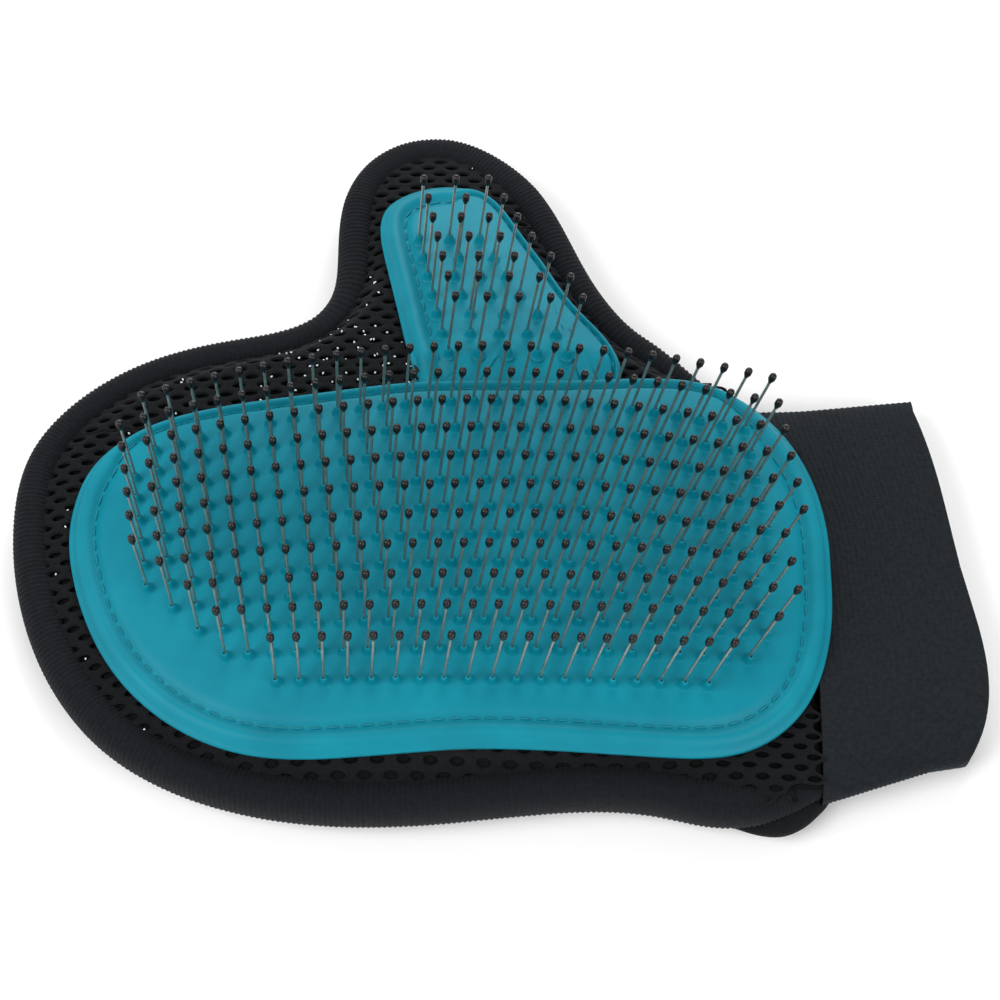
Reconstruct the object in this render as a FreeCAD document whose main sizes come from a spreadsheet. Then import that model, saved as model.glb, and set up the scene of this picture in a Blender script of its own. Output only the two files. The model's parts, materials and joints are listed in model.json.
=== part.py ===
import FreeCAD, Part
import math
import os
from FreeCAD import Rotation, Vector

# A pet grooming mitt, lying on its back with its pins up.
# +X runs from the fingers to the wrist, +Y to the thumb, +Z out of the palm.
# The origin is under the middle of the mitt, on the surface that it lies on. Millimetres.
#
# Every layer of the palm follows one gentle dome: it is the part of a hollow sphere that lies
# over the layer's own outline. The back layers are flat.

doc = FreeCAD.newDocument("grooming_mitt")
sheet = doc.addObject("Spreadsheet::Sheet", "Sizes")

SIZES = [
    ("hand_length", 194.0),       # fingertip to wrist seam
    ("hand_width", 193.5),        # heel of the hand to the thumb's tip
    ("dome_radius", 520.0),       # outside of the rubber pads
    ("dome_height", 28.0),        # top of the dome above the table
    ("pad_thickness", 2.5),
    ("backing_thickness", 1.0),
    ("mesh_thickness", 2.5),
    ("foam_thickness", 4.0),
    ("lining_thickness", 0.8),
    ("binding_width", 9.5),
    ("binding_height", 16.0),     # its most; at thin edges it follows the mesh
    ("binding_proud", 1.0),       # how far the binding stands above the mesh beside it
    ("binding_cloth", 1.2),
    ("crease_gap", 0.8),          # between the hand's and the thumb's pieces
    ("seam_inset", 2.2),          # pad's edge to the middle of its seam
    ("thread_width", 0.7),
    ("thread_height", 0.6),
    ("groove_clearance", 0.1),
    ("pin_pitch", 5.46),
    ("row_pitch", 7.23),
    ("row_bow", 15.3),            # the thumb-side row bends down this much at its ends
    ("row_shift", 1.0),           # each row starts this much nearer the wrist than the last
    ("pin_margin", 7.0),          # edge of the shifted pin field to the nearest pin
    ("end_margin", 6.5),          # added to it at the fingers' and the wrist's ends
    ("field_shift", 6.7),         # the pin field sits this much nearer the thumb
    ("thumb_pitch", 7.4),
    ("thumb_row_pitch", 6.0),
    ("thumb_margin", 9.2),        # finger-side edge of the thumb's pad to the nearest pin
    ("thumb_wide_margin", 13.0),  # wrist-side edge of the thumb's pad to the nearest pin
    ("thumb_first_row", 3.0),     # foot of the thumb's pad to the first row
    ("thumb_tip_margin", 17.0),   # tip of the thumb's pad to the last row
    ("cone_height", 3.4),
    ("cone_base", 2.3),
    ("cone_top", 1.0),
    ("wire_size", 0.7),
    ("wire_rise", 14.6),          # from the bend to the tip
    ("bend_reach", 1.0),          # the bend starts and ends this far from its corner
    ("tip_size", 1.8),
    ("tip_length", 2.9),
    ("tip_neck", 0.84),           # where the resin starts on the wire
    ("tip_shoulder", 1.1),        # neck's foot to where the drop is widest
    ("lean_to_thumb", 15.0),      # degrees off the dome's normal
    ("lean_to_wrist", 8.0),
    ("lean_growth", 1.6),         # how much steeper that lean gets over the hand's length
    ("cuff_height", 13.0),
    ("cuff_wall", 1.5),
    ("cuff_gap", 2.0),
    ("cuff_overrun", 2.0),        # the cuff is lofted this much longer, then trimmed
    ("tape_width", 7.0),
    ("tape_thickness", 0.6),
    ("tape_margin", 12.5),        # the mitt's corner to the tape's end
]
for row, (alias, value) in enumerate(SIZES, start=1):
    sheet.set("A%d" % row, alias)
    sheet.set("B%d" % row, str(value))
    sheet.setAlias("B%d" % row, alias)
doc.recompute()


def size(alias):
    return float(sheet.get(alias))


# The outlines below are drawn for this length and width, and stretch with the mitt.
DRAWN_LENGTH = 194.0
DRAWN_WIDTH = 193.5

MITT = [(77, 9), (59, 21), (38, 34.5), (25, 52), (14, 75), (0, 91), (-16, 97.5), (-30, 91),
        (-38, 75), (-39, 58), (-41.5, 44), (-50, 36.5), (-66, 32), (-88, 25), (-104, 14),
        (-115, -2), (-117, -22), (-110, -51), (-93, -75), (-68, -89), (-35, -95), (0, -93.5),
        (40, -92), (66, -96), (77, -92.5)]
MAIN_PAD = [(81.3, -30), (79, -14), (73.5, -2), (64, 8), (54, 13), (40, 14), (18, 12.8),
            (-18, 12.4), (-42, 9.3), (-69, 5.6), (-88, -0.5), (-97.5, -9), (-101.2, -22),
            (-99, -38), (-89.5, -59), (-76, -73), (-57, -82), (-32, -83.6), (0, -82),
            (40, -82.5), (60, -80), (73, -70), (80, -53)]
THUMB_PAD = [(32.3, 16.2), (30, 23.5), (21.3, 35.5), (14.4, 48), (7.3, 60), (0, 71.5),
             (-7, 75.8), (-20, 74.8), (-26.5, 70), (-28.2, 62), (-27, 53), (-23.8, 37),
             (-20.7, 23), (-18.5, 16.2)]
CUFF = [(79, 14), (106, 16.5), (111, -5), (115.5, -34), (117.2, -72), (113, -80.5), (79, -91)]
CREASE = 15.5          # the thumb folds along this line
WEB = -45.0            # the thumb's pieces end here, at the web beside the fingers
DOME_CENTRE = (-10.0, -25.0)
FIELD_CENTRE = (-10.0, -30.85)
BOW_CENTRE = 3.0       # the rows bend down to both sides of this line
PIN_ROWS = 11


def plan(x, y):
    """A drawn point at the mitt's own length and width."""
    return Vector(x * size("hand_length") / DRAWN_LENGTH, y * size("hand_width") / DRAWN_WIDTH, 0)


TALL = 60.0           # higher than the mitt
FAR = 300.0           # wider than the mitt


# ---- outlines -------------------------------------------------------------------------------

def curve_through(points, closed):
    curve = Part.BSplineCurve()
    curve.interpolate(Points=points, PeriodicFlag=closed)
    return curve


def inset(curve, distance, closed, steps=56):
    """The same curve moved towards its left side, which is the inside of these outlines."""
    first, last = curve.FirstParameter, curve.LastParameter
    points = []
    for step in range(steps if closed else steps + 1):
        at = first + (last - first) * step / steps
        along = curve.tangent(at)[0]
        points.append(curve.value(at) + Vector(-along.y, along.x, 0) * distance)
    return curve_through(points, closed)


def face_inside(curve, closed):
    edges = [curve.toShape()]
    if not closed:
        edges.append(Part.makeLine(edges[0].valueAt(edges[0].LastParameter),
                                   edges[0].valueAt(edges[0].FirstParameter)))
    return Part.Face(Part.Wire(edges))


def mitt_face(distance, wrist_inset=0.0):
    """The mitt's outline moved inwards, cut off straight at the wrist."""
    curve = curve_through([plan(x, y) for x, y in MITT], False)
    if distance:
        curve = inset(curve, distance, False)
    top, bottom = curve.value(curve.FirstParameter), curve.value(curve.LastParameter)
    beyond = Vector(FAR, 0, 0)
    corners = [bottom, bottom + beyond, top + beyond, top]
    sides = [Part.makeLine(a, b) for a, b in zip(corners, corners[1:])]
    whole = Part.Face(Part.Wire([curve.toShape()] + sides))
    wrist = plan(*MITT[0]).x - wrist_inset
    keep = Part.makePlane(2 * FAR, 2 * FAR, Vector(wrist - 2 * FAR, -FAR, 0))
    return whole.common(keep).Faces[0]


def pad_curve(drawn, closed, distance=0.0):
    curve = curve_through([plan(x, y) for x, y in drawn], closed)
    return inset(curve, distance, closed) if distance else curve


def drawn_box(low_x, low_y, high_x, high_y):
    low, high = plan(low_x, low_y), plan(high_x, high_y)
    return Part.makeBox(high.x - low.x, high.y - low.y, 2 * TALL, Vector(low.x, low.y, -TALL))


# ---- the dome -------------------------------------------------------------------------------

def dome_centre():
    middle = plan(*DOME_CENTRE)
    return Vector(middle.x, middle.y, size("dome_height") - size("dome_radius"))


def ball(depth):
    """A solid sphere whose surface lies this deep under the rubber pads' outside."""
    sphere = Part.makeSphere(size("dome_radius") - depth)
    sphere.rotate(Vector(0, 0, 0), Vector(1, 0, 0), 90)
    sphere.translate(dome_centre())
    return sphere


def prism(face):
    return face.extrude(Vector(0, 0, TALL))


def dome_layer(solid, depth, thickness):
    """The part of an upright solid that lies within one layer of the dome."""
    return solid.common(ball(depth).cut(ball(depth + thickness)))


def on_dome(x, y, depth=0.0):
    centre = dome_centre()
    radius = size("dome_radius") - depth
    flat = (x - centre.x) ** 2 + (y - centre.y) ** 2
    return Vector(x, y, centre.z + math.sqrt(radius ** 2 - flat))


def normal_at(x, y):
    return (on_dome(x, y) - dome_centre()).normalize()


DEPTH = {}
deep = 0.0
for layer in ("pad", "backing", "mesh", "foam", "lining"):
    DEPTH[layer] = deep
    deep += size(layer + "_thickness")


# ---- the document's pieces ------------------------------------------------------------------

def piece(label, shape):
    """One named sub-part of the document."""
    made = doc.addObject("Part::Feature", label)
    made.Label = label
    made.Shape = shape if len(shape.Solids) > 1 else shape.Solids[0]
    return made


def thumb_side():
    """The block of space that the thumb's pieces fill."""
    return drawn_box(WEB, CREASE, FAR, FAR)


def hand_part(shape):
    return shape.cut(thumb_side())


def thumb_part(shape):
    block = thumb_side()
    block.translate(Vector(size("crease_gap"), size("crease_gap"), 0))
    return shape.common(block)


# ---- rubber pads, their backing cloths and seams ---------------------------------------------

def seam_ring(drawn, closed, width):
    outside = face_inside(pad_curve(drawn, closed, size("seam_inset") - width / 2), closed)
    inside = face_inside(pad_curve(drawn, closed, size("seam_inset") + width / 2), closed)
    return prism(outside).cut(prism(inside))


def seam(drawn, closed, clearance):
    """The thread's band, or with a clearance the groove that it lies in."""
    ring = seam_ring(drawn, closed, size("thread_width") + 2 * clearance)
    floor = size("thread_height") + clearance
    return ring.cut(ball(floor)) if clearance else dome_layer(ring, 0, floor)


def cone_at(x, y):
    sunk = size("pad_thickness") / 2
    up = normal_at(x, y)
    return Part.makeCone(size("cone_base") / 2 * (1 + sunk / size("cone_height")),
                         size("cone_top") / 2, size("cone_height") + sunk,
                         on_dome(x, y) - up * sunk, up)


def rubber_pad(label, drawn, closed, pins):
    outline = face_inside(pad_curve(drawn, closed), closed)
    rubber = dome_layer(prism(outline), DEPTH["pad"], size("pad_thickness"))
    rubber = rubber.cut(seam(drawn, closed, size("groove_clearance")))
    return piece(label, rubber.fuse([cone_at(x, y) for x, y in pins]))


def backing(label, drawn, closed):
    outline = face_inside(pad_curve(drawn, closed), closed)
    return piece(label, dome_layer(prism(outline), DEPTH["backing"], size("backing_thickness")))


# ---- pins -----------------------------------------------------------------------------------

def inside_by(face, x, y, margin):
    spot = Vector(x, y, 0)
    if not face.isInside(spot, 1e-6, True):
        return False
    return face.OuterWire.distToShape(Part.Vertex(spot))[0] >= margin


def seam_room():
    """The least distance from a pad's edge to a pin, so that its cone clears the seam."""
    return (size("seam_inset") + size("thread_width") / 2 + 2 * size("groove_clearance") +
            size("cone_base") / 2)


def main_rows():
    """The pins' places on the main pad, row by row from the heel of the hand up."""
    field = face_inside(pad_curve(MAIN_PAD, True), True)
    middle = plan(*FIELD_CENTRE)
    crest = plan(BOW_CENTRE, 0).x
    rows = []
    for number in range(PIN_ROWS):
        row = number - (PIN_ROWS - 1) / 2
        start = middle.x - row * size("row_shift")
        reach = int(size("hand_length") / size("pin_pitch"))
        places = []
        for step in range(-reach, reach + 1):
            x = start + step * size("pin_pitch")
            most_bow = size("row_bow") * number / (PIN_ROWS - 1)
            bow = most_bow * ((x - crest) / (size("hand_length") / 2)) ** 2
            places.append((x, middle.y + row * size("row_pitch") - bow))
        rows.append([(x, y) for x, y in places
                     if inside_by(field, x, y, seam_room()) and
                     inside_by(field, x + math.copysign(size("end_margin"), x - middle.x),
                               y - size("field_shift"), size("pin_margin"))])
    return [row for row in rows if row]


def thumb_pins():
    """Rows across the thumb, each spread evenly between the pad's two long edges."""
    field = face_inside(pad_curve(THUMB_PAD, False), False)
    box = field.BoundBox
    places = []
    y = box.YMin + size("thumb_first_row")
    while y < box.YMax - size("thumb_tip_margin"):
        line = Part.makeLine(Vector(box.XMin - 1, y, 0), Vector(box.XMax + 1, y, 0)).common(field)
        low = line.BoundBox.XMin + size("thumb_margin")
        high = line.BoundBox.XMax - size("thumb_wide_margin")
        gaps = max(1, round((high - low) / size("thumb_pitch")))
        places += [(low + (high - low) * step / gaps, y) for step in range(gaps + 1)]
        y += size("thumb_row_pitch")
    return places


def pin_lean(x, y):
    """The way a pin's upper length points: off the dome's normal, more so near the wrist."""
    along = x / size("hand_length")
    sideways = math.radians(size("lean_to_wrist") * (1 + size("lean_growth") * along))
    forwards = math.radians(size("lean_to_thumb"))
    return (normal_at(x, y) + Vector(math.tan(sideways), math.tan(forwards), 0)).normalize()


def pin_wire(x, y):
    """A wire that stands on the backing cloth, passes up the cone and bends at its top."""
    up, lean = normal_at(x, y), pin_lean(x, y)
    root = on_dome(x, y, DEPTH["backing"])
    bend = on_dome(x, y) + up * size("cone_height")
    half_turn = up.getAngle(lean) / 2
    reach = size("bend_reach")
    below, above = bend - up * reach, bend + lean * reach
    sag = reach / math.tan(half_turn) * (1 / math.cos(half_turn) - 1)
    middle = bend + (lean - up).normalize() * sag
    path = Part.Wire([Part.makeLine(root, below), Part.Arc(below, middle, above).toShape(),
                      Part.makeLine(above, bend + lean * size("wire_rise"))])
    section = Part.Wire(Part.makeCircle(size("wire_size") / 2, root, up))
    return path.makePipeShell([section], True, True)


def pin_tip(x, y):
    """A drop of resin on the end of a wire: a narrow neck, a round body and a round top."""
    lean = pin_lean(x, y)
    bend = on_dome(x, y) + normal_at(x, y) * size("cone_height")
    wide, neck = size("tip_size") / 2, size("tip_neck") / 2
    tall = size("tip_length")
    body = tall - wide
    diagonal = wide * math.sqrt(0.5)
    start, foot = Vector(0, 0, 0), Vector(neck, 0, 0)
    low, high = Vector(wide, 0, size("tip_shoulder")), Vector(wide, 0, body)
    top = Vector(0, 0, tall)
    cap = Part.Arc(high, Vector(diagonal, 0, body + diagonal), top).toShape()
    wire = Part.Wire([Part.makeLine(start, foot), Part.makeLine(foot, low),
                      Part.makeLine(low, high), cap, Part.makeLine(top, start)])
    drop = Part.Face(wire).revolve(start, Vector(0, 0, 1), 360)
    place = FreeCAD.Placement(bend + lean * size("wire_rise"), Rotation(Vector(0, 0, 1), lean))
    drop.Placement = place
    return drop


def pins(label, places):
    return piece(label, Part.makeCompound([pin_wire(x, y) for x, y in places]))


def tips(label, places):
    return piece(label, Part.makeCompound([pin_tip(x, y) for x, y in places]))


# ---- cloth layers and the bound edge ---------------------------------------------------------

def cloth_face():
    return mitt_face(size("binding_width"))


def slab(low, high):
    return Part.makeBox(2 * FAR, 2 * FAR, high - low, Vector(-FAR, -FAR, low))


def palm_layer(layer):
    """A layer of the palm. Near the thumb's tip it is pinched against the back."""
    above_back = prism(cloth_face()).common(slab(size("mesh_thickness") + size("lining_thickness"), TALL))
    return dome_layer(above_back, DEPTH[layer], size(layer + "_thickness"))


def back_layer(low, thickness):
    layer = cloth_face().extrude(Vector(0, 0, thickness))
    layer.translate(Vector(0, 0, low))
    return layer


def edge_ring(skin):
    """The bound edge's solid, or what is left inside it under a skin this thick."""
    outside = prism(mitt_face(skin, skin))
    inside = prism(mitt_face(size("binding_width") - skin, skin - size("binding_width")))
    ring = outside.cut(inside).common(ball(DEPTH["mesh"] - size("binding_proud") + skin))
    return ring.common(slab(skin, size("binding_height") - skin))


def binding_parts():
    """The binding as a closed sleeve of cloth, and the soft piping inside it."""
    piping = edge_ring(size("binding_cloth"))
    return edge_ring(0.0).cut(piping), piping


# ---- elastic cuff ---------------------------------------------------------------------------

def cuff_solid(wall):
    """The flattened cuff, or the room inside it when a wall is taken off all round."""
    points = [plan(x, y) for x, y in CUFF]
    low = wall
    high = size("cuff_height") - wall
    seam_x = points[0].x + size("cuff_gap")
    top, bottom = points[0].y, points[-1].y
    slope_top = (points[1].y - top) / (points[1].x - points[0].x)
    slope_low = (points[-2].y - bottom) / (points[-2].x - points[-1].x)
    reach = points[4].x - points[0].x
    sections = []
    for along in (-size("cuff_overrun"), reach + size("cuff_overrun")):
        upper = top + slope_top * along - wall
        lower = bottom + slope_low * along + wall
        sections.append(stadium(points[0].x + along, lower, upper, low, high))
    tube = Part.makeLoft(sections, True, True)
    end = curve_through(points[1:-1], False)
    corners = [points[1], Vector(seam_x, points[1].y + FAR, 0), Vector(seam_x, points[-2].y - FAR, 0),
               points[-2]]
    edges = [end.toShape(), Part.makeLine(corners[3], corners[2]), Part.makeLine(corners[2], corners[1]),
             Part.makeLine(corners[1], corners[0])]
    trim = prism(Part.Face(Part.Wire(edges)))
    return tube if wall else tube.common(trim)


def stadium(x, low_y, high_y, low_z, high_z):
    radius = (high_z - low_z) / 2
    middle = (high_z + low_z) / 2
    a, b = Vector(x, low_y + radius, low_z), Vector(x, high_y - radius, low_z)
    c, d = Vector(x, high_y - radius, high_z), Vector(x, low_y + radius, high_z)
    return Part.Wire([Part.makeLine(a, b), Part.Arc(b, Vector(x, high_y, middle), c).toShape(),
                      Part.makeLine(c, d), Part.Arc(d, Vector(x, low_y, middle), a).toShape()])


def cuff_layers():
    """The elastic is one wide band folded in two at the wrist's mouth."""
    whole = cuff_solid(0)
    between = cuff_solid(size("cuff_wall"))
    room = cuff_solid(2 * size("cuff_wall"))
    return whole.cut(between), whole.common(between).cut(room)


def wrist_tape(label):
    """A flat tape sewn over the raw edge of the back, inside the wrist."""
    tape = doc.addObject("Part::Box", label)
    tape.Label = label
    scale_x = "Sizes.hand_length / %g" % DRAWN_LENGTH
    scale_y = "Sizes.hand_width / %g" % DRAWN_WIDTH
    (wrist, top), bottom = MITT[0], MITT[-1][1]
    tape.setExpression("Length", "Sizes.tape_width")
    tape.setExpression("Height", "Sizes.tape_thickness")
    tape.setExpression("Width", "%g * %s - 2 * Sizes.tape_margin" % (top - bottom, scale_y))
    wrist_x = "%g * %s - Sizes.tape_width - Sizes.crease_gap" % (wrist, scale_x)
    tape.setExpression(".Placement.Base.x", wrist_x)
    tape.setExpression(".Placement.Base.y", "%g * %s + Sizes.tape_margin" % (bottom, scale_y))
    tape.setExpression(".Placement.Base.z", "Sizes.mesh_thickness + Sizes.lining_thickness")


# ---- the mitt -------------------------------------------------------------------------------

rows = main_rows()
rubber_pad("main_pad", MAIN_PAD, True, [place for row in rows for place in row])
backing("main_pad_backing", MAIN_PAD, True)
piece("main_pad_stitching", seam(MAIN_PAD, True, 0.0))
for number, row in enumerate(rows, start=1):
    pins("main_pins_row_%02d" % number, row)
    tips("main_tips_row_%02d" % number, row)

on_thumb = thumb_pins()
rubber_pad("thumb_pad", THUMB_PAD, False, on_thumb)
backing("thumb_pad_backing", THUMB_PAD, False)
piece("thumb_pad_stitching", seam(THUMB_PAD, False, 0.0))
pins("thumb_pins", on_thumb)
tips("thumb_tips", on_thumb)

for layer, hand_name, thumb_name in (("mesh", "palm_mesh", "thumb_mesh"),
                                     ("foam", "palm_foam", "thumb_foam"),
                                     ("lining", "palm_lining", "thumb_lining")):
    cloth = palm_layer(layer)
    piece(hand_name, hand_part(cloth))
    piece(thumb_name, thumb_part(cloth))

back_cloth = back_layer(0.0, size("mesh_thickness"))
piece("back_mesh", hand_part(back_cloth))
piece("thumb_back_mesh", thumb_part(back_cloth))
inner_cloth = back_layer(size("mesh_thickness"), size("lining_thickness"))
piece("back_lining", hand_part(inner_cloth))
piece("thumb_back_lining", thumb_part(inner_cloth))

sleeve, piping = binding_parts()
piece("hand_binding", hand_part(sleeve))
piece("thumb_binding", thumb_part(sleeve))
piece("hand_piping", hand_part(piping))
piece("thumb_piping", thumb_part(piping))

cuff_outer, cuff_inner = cuff_layers()
piece("cuff_outer", cuff_outer)
piece("cuff_inner", cuff_inner)
wrist_tape("wrist_tape")

# ---- check and write ------------------------------------------------------------------------

doc.recompute()
for made in doc.Objects:
    if "Invalid" in made.State or "Error" in made.State:
        raise RuntimeError(made.Label + " failed")
parts = [made for made in doc.Objects if made.TypeId != "Spreadsheet::Sheet"]
for made in parts:
    if made.Shape.isNull() or not made.Shape.isValid():
        raise RuntimeError(made.Label + " has no valid shape")
os.makedirs("parts", exist_ok=True)
for made in parts:
    made.Shape.exportStep("parts/" + made.Label + ".step")
    box = made.Shape.BoundBox
    print("%-22s %3d solids  %9.1f mm3  z %.2f to %.2f" % (
        made.Label, len(made.Shape.Solids), made.Shape.Volume, box.ZMin, box.ZMax))
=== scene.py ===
# %% [markdown]
# # A grooming mitt
# The mitt lies on its back with its pins up: two moulded rubber pads on a palm of air mesh, a
# ribbed binding round the edge and an elastic cuff. The frame brings the pins, the linings and
# the sizes. This file models everything soft that shows.

# %% Load the frame
import json
import math
import random
import bmesh
import bpy
import numpy as np
from mathutils import Matrix, Quaternion, Vector
from mathutils.bvhtree import BVHTree


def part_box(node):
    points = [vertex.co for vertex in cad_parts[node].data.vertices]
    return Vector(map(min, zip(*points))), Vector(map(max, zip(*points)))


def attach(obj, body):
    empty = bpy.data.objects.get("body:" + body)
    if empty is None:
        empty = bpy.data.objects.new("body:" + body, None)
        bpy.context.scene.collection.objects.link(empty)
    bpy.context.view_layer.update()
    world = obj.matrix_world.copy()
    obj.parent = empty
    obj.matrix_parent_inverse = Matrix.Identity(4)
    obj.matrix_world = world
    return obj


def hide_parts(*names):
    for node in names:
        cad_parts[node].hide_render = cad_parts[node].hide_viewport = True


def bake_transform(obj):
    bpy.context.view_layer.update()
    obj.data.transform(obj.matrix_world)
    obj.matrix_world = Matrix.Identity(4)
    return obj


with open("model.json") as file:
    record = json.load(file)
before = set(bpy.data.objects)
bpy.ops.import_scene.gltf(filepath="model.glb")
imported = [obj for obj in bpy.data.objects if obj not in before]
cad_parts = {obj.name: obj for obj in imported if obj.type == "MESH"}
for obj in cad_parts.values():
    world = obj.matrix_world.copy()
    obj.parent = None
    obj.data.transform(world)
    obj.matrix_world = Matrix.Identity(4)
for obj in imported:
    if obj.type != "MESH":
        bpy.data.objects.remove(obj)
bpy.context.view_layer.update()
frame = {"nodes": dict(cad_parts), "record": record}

MM = 0.001
chance = random.Random(7)
scene = bpy.context.scene

# %% [markdown]
# ## Outlines, read from the frame
# Every soft piece follows the same few outlines seen from above. A straight line from the middle
# of a piece leaves it for the last time at its edge, so a fan of such lines finds the edge, and
# then the points are spread evenly along it.

# %% Find an outline
def edge_points(names, middle, count=720):
    """The outermost points of these nodes in plan, in a fan round middle."""
    lines = []
    for name in names:
        mesh = frame["nodes"][name].data
        spots = np.array([v.co[:2] for v in mesh.vertices]) - np.array(middle)
        lines.append(spots[np.array([e.vertices[:] for e in mesh.edges])])
    ends = np.concatenate(lines)
    reach = np.zeros(count)
    for step in range(count):
        turn = 2 * math.pi * step / count
        ahead = ends @ np.array([math.cos(turn), math.sin(turn)])
        aside = ends @ np.array([-math.sin(turn), math.cos(turn)])
        cut = (aside[:, 0] * aside[:, 1] <= 0) & (abs(aside[:, 0] - aside[:, 1]) > 1e-12)
        first, last = aside[cut, 0], aside[cut, 1]
        along = ahead[cut, 0] + (ahead[cut, 1] - ahead[cut, 0]) * first / (first - last)
        reach[step] = along.max(initial=0)
    met = reach > 0
    reach = np.max([np.roll(reach, k) for k in (-2, -1, 0, 1, 2)], axis=0)
    turns = 2 * math.pi * np.arange(count) / count
    points = np.stack([middle[0] + reach * np.cos(turns), middle[1] + reach * np.sin(turns)], axis=1)
    return eased(points[met], 2, True)


def spread(points, spacing, closed):
    """The same line with its points spaced evenly, about this far apart."""
    line = np.vstack([points, points[:1]]) if closed else np.array(points)
    runs = np.hypot(*np.diff(line, axis=0).T)
    walked = np.concatenate([[0], np.cumsum(runs)])
    count = max(3, round(walked[-1] / spacing))
    at = np.linspace(0, walked[-1], count + 1)
    even = np.stack([np.interp(at, walked, line[:, k]) for k in (0, 1)], axis=1)
    return even[:-1] if closed else even


def leftward(points, closed):
    """For each point, the unit step to the left of the line, which is into the mitt."""
    if closed:
        along = np.roll(points, -1, axis=0) - np.roll(points, 1, axis=0)
    else:
        along = np.gradient(points, axis=0)
    along /= np.hypot(*along.T)[:, None]
    return np.stack([-along[:, 1], along[:, 0]], axis=1)


def eased(points, rounds, closed):
    """The line with its small steps smoothed away."""
    for _ in range(rounds):
        if closed:
            points = (np.roll(points, 1, axis=0) + 2 * points + np.roll(points, -1, axis=0)) / 4
        else:
            middle = (points[:-2] + 2 * points[1:-1] + points[2:]) / 4
            points = np.vstack([points[:1], middle, points[-1:]])
    return points


# %% The mitt's own outlines
MITT_MIDDLE = (-0.010, -0.010)
wrist_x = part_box("palm_mesh")[1][0]
fan = edge_points(["hand_binding", "thumb_binding"], MITT_MIDDLE)
fan = [p for p in fan if p[0] < wrist_x - 0.4 * MM]
steps = [np.hypot(*(b - a)) for a, b in zip(fan, fan[1:])]
gap = int(np.argmax(steps)) + 1
if steps[gap - 1] > 20 * MM:
    fan = fan[gap:] + fan[:gap]
mitt_edge = eased(spread(np.array(fan), 1.0 * MM, False), 6, False)

pad_low, pad_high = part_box("main_pad")
pad_middle = ((pad_low[0] + pad_high[0]) / 2, (pad_low[1] + pad_high[1]) / 2)
main_edge = eased(spread(edge_points(["main_pad_backing"], pad_middle), 1.0 * MM, True), 3, True)
thumb_low, thumb_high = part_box("thumb_pad")
thumb_middle = ((thumb_low[0] + thumb_high[0]) / 2, thumb_low[1] + 20 * MM)
thumb_edge = edge_points(["thumb_pad_backing"], thumb_middle)
print("edges:", len(mitt_edge), len(main_edge), len(thumb_edge))

# %% [markdown]
# ## The dome
# The palm is gently domed, like a cap cut from a large ball. A least-squares fit to the cloth
# under the rubber gives that ball, and every layer is placed by its height above it.

# %% Fit the dome
RUBBER = 2.5 * MM


def fit_ball(name):
    mesh = frame["nodes"][name].data
    tree = BVHTree.FromPolygons([v.co for v in mesh.vertices], [p.vertices for p in mesh.polygons])
    low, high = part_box(name)
    hits = []
    for i in range(1, 8):
        for j in range(1, 8):
            x = low[0] + (high[0] - low[0]) * i / 8
            y = low[1] + (high[1] - low[1]) * j / 8
            place = tree.ray_cast(Vector((x, y, 1)), Vector((0, 0, -1)))[0]
            if place:
                hits.append(place)
    spots = np.array(hits)
    known = np.hstack([2 * spots, np.ones((len(spots), 1))])
    found = np.linalg.lstsq(known, (spots ** 2).sum(axis=1), rcond=None)[0]
    return found[:3], math.sqrt(found[3] + (found[:3] ** 2).sum())


ball_middle, ball_radius = fit_ball("main_pad_backing")
ball_radius += RUBBER


def dome(x, y, rise=0.0):
    """Height of the dome at this place; rise 0 is the rubber pads' flat field."""
    flat = (x - ball_middle[0]) ** 2 + (y - ball_middle[1]) ** 2
    return ball_middle[2] + np.sqrt((ball_radius + rise) ** 2 - flat)


print("dome radius %.1f mm, top %.1f mm" % (ball_radius / MM, (ball_middle[2] + ball_radius) / MM))

# %% [markdown]
# ## Small helpers
# A material is a few nodes, so one function adds a node and its links. Colours are written as
# hex values, the way a colour picker gives them, and turned to linear light once, here.

# %% Colour and node helpers
def linear(hex_colour):
    parts = [int(hex_colour[i:i + 2], 16) / 255 for i in (1, 3, 5)]
    return [c / 12.92 if c <= 0.04045 else ((c + 0.055) / 1.055) ** 2.4 for c in parts] + [1.0]


def add_node(tree, kind, links=(), **settings):
    """Adds a node. Settings whose name is an input's go to that input; links are (input, socket)."""
    node = tree.nodes.new(kind)
    for name, value in settings.items():
        if hasattr(node, name):
            setattr(node, name, value)
        else:
            node.inputs[name.replace("_", " ")].default_value = value
    for name, socket in links:
        tree.links.new(socket, node.inputs[name])
    return node


def new_material(name, colour, roughness, **settings):
    """A plain surface to start from, with its tree and its shader."""
    material = bpy.data.materials.new(name)
    material.use_nodes = True
    tree = material.node_tree
    shader = tree.nodes["Principled BSDF"]
    shader.inputs["Base Color"].default_value = linear(colour)
    shader.inputs["Roughness"].default_value = roughness
    for key, value in settings.items():
        shader.inputs[key.replace("_", " ")].default_value = value
    material.diffuse_color = linear(colour)
    return material, tree, shader


def varied_colour(tree, shader, dark, light, scale, detail=3.0):
    """Lets the colour drift between two near shades over patches of 1/scale metres."""
    place = add_node(tree, "ShaderNodeTexCoord")
    noise = add_node(tree, "ShaderNodeTexNoise", [("Vector", place.outputs["Object"])],
                     Scale=scale, Detail=detail)
    ramp = add_node(tree, "ShaderNodeValToRGB", [("Fac", noise.outputs["Fac"])])
    ramp.color_ramp.elements[0].position = 0.3
    ramp.color_ramp.elements[1].position = 0.7
    ramp.color_ramp.elements[0].color = linear(dark)
    ramp.color_ramp.elements[1].color = linear(light)
    tree.links.new(ramp.outputs["Color"], shader.inputs["Base Color"])
    return place


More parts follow.
